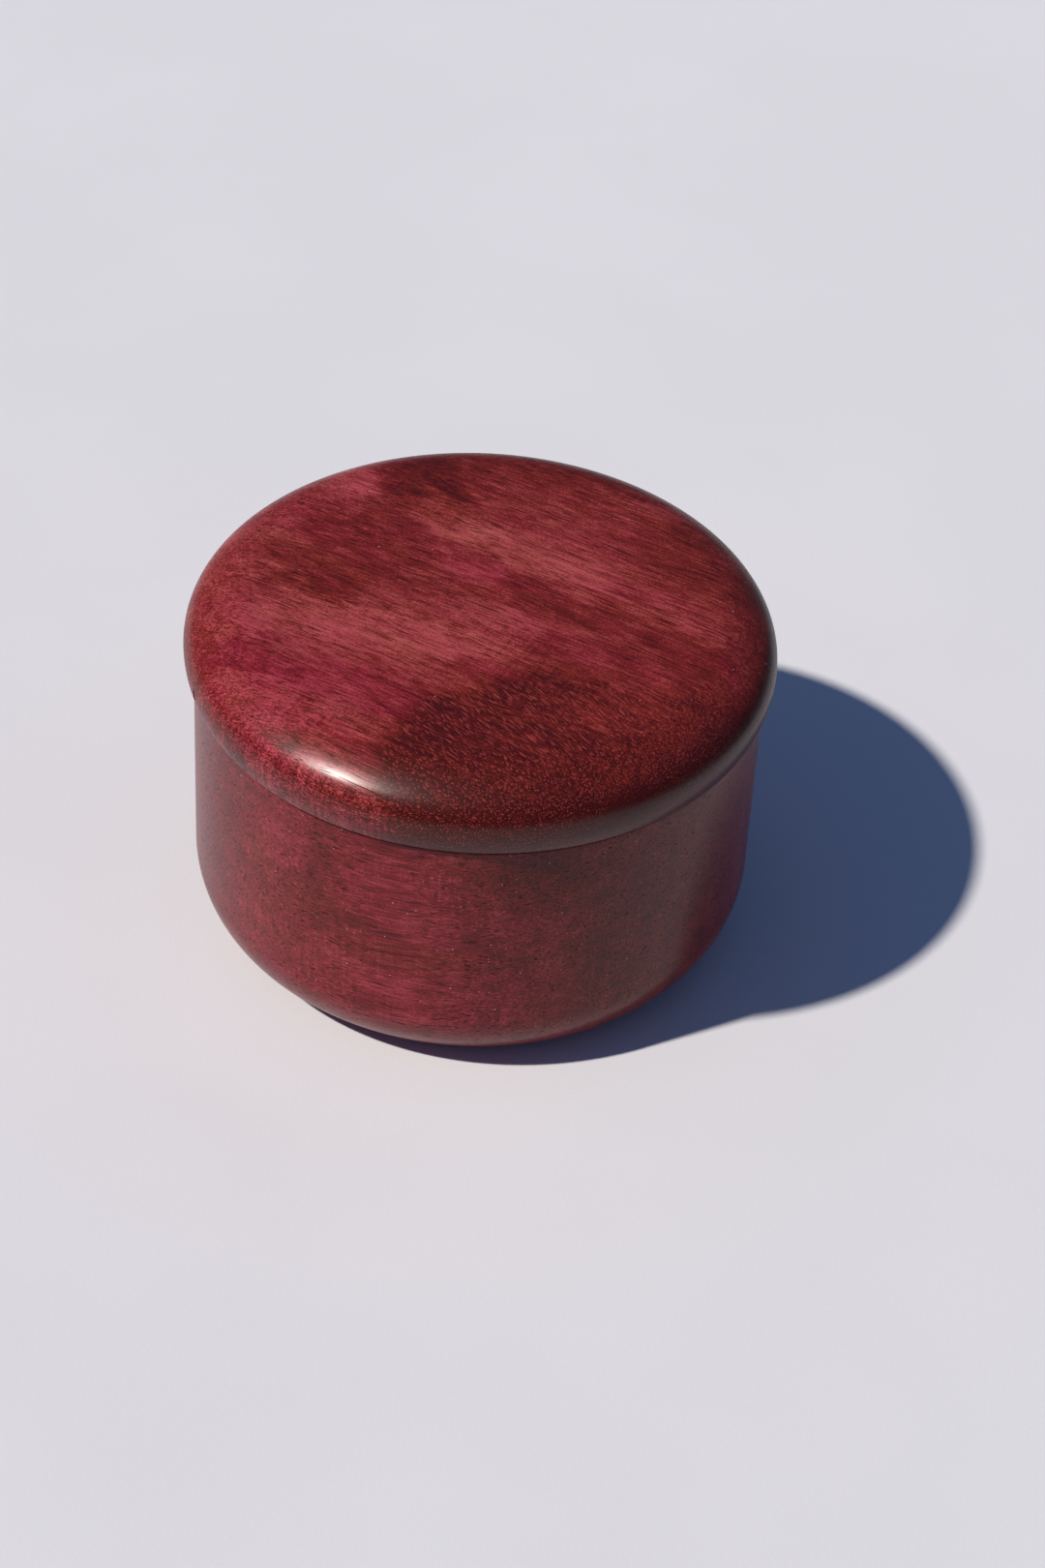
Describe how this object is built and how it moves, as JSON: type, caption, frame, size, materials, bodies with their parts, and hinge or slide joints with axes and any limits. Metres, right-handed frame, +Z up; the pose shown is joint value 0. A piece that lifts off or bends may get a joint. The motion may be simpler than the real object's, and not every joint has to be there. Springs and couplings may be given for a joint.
{
  "type": "lidded bowl",
  "caption": "Small turned hardwood bowl with a straight wall, a rounded lower edge and a flat overhanging lid that lifts off.",
  "frame": {"origin": "centre of the foot, on the surface that the bowl stands on", "axes": "+Z up, along the turned axis from the foot to the lid's crown; +X to the right of the picture's view and +Y away from it"},
  "size_m": [0.1, 0.1, 0.0647],
  "materials": {
    "bowl_wood": "satin oiled purpleheart",
    "lid_wood": "satin oiled purpleheart"
  },
  "bodies": {
    "bowl": {"bowl": "bowl_wood"},
    "lid": {"lid": "lid_wood"}
  },
  "joints": [
    {"name": "lid_lift", "type": "slide", "parent": "bowl", "child": "lid", "axis": [0, 0, 1], "range_m": [0, 0.06]}
  ]
}
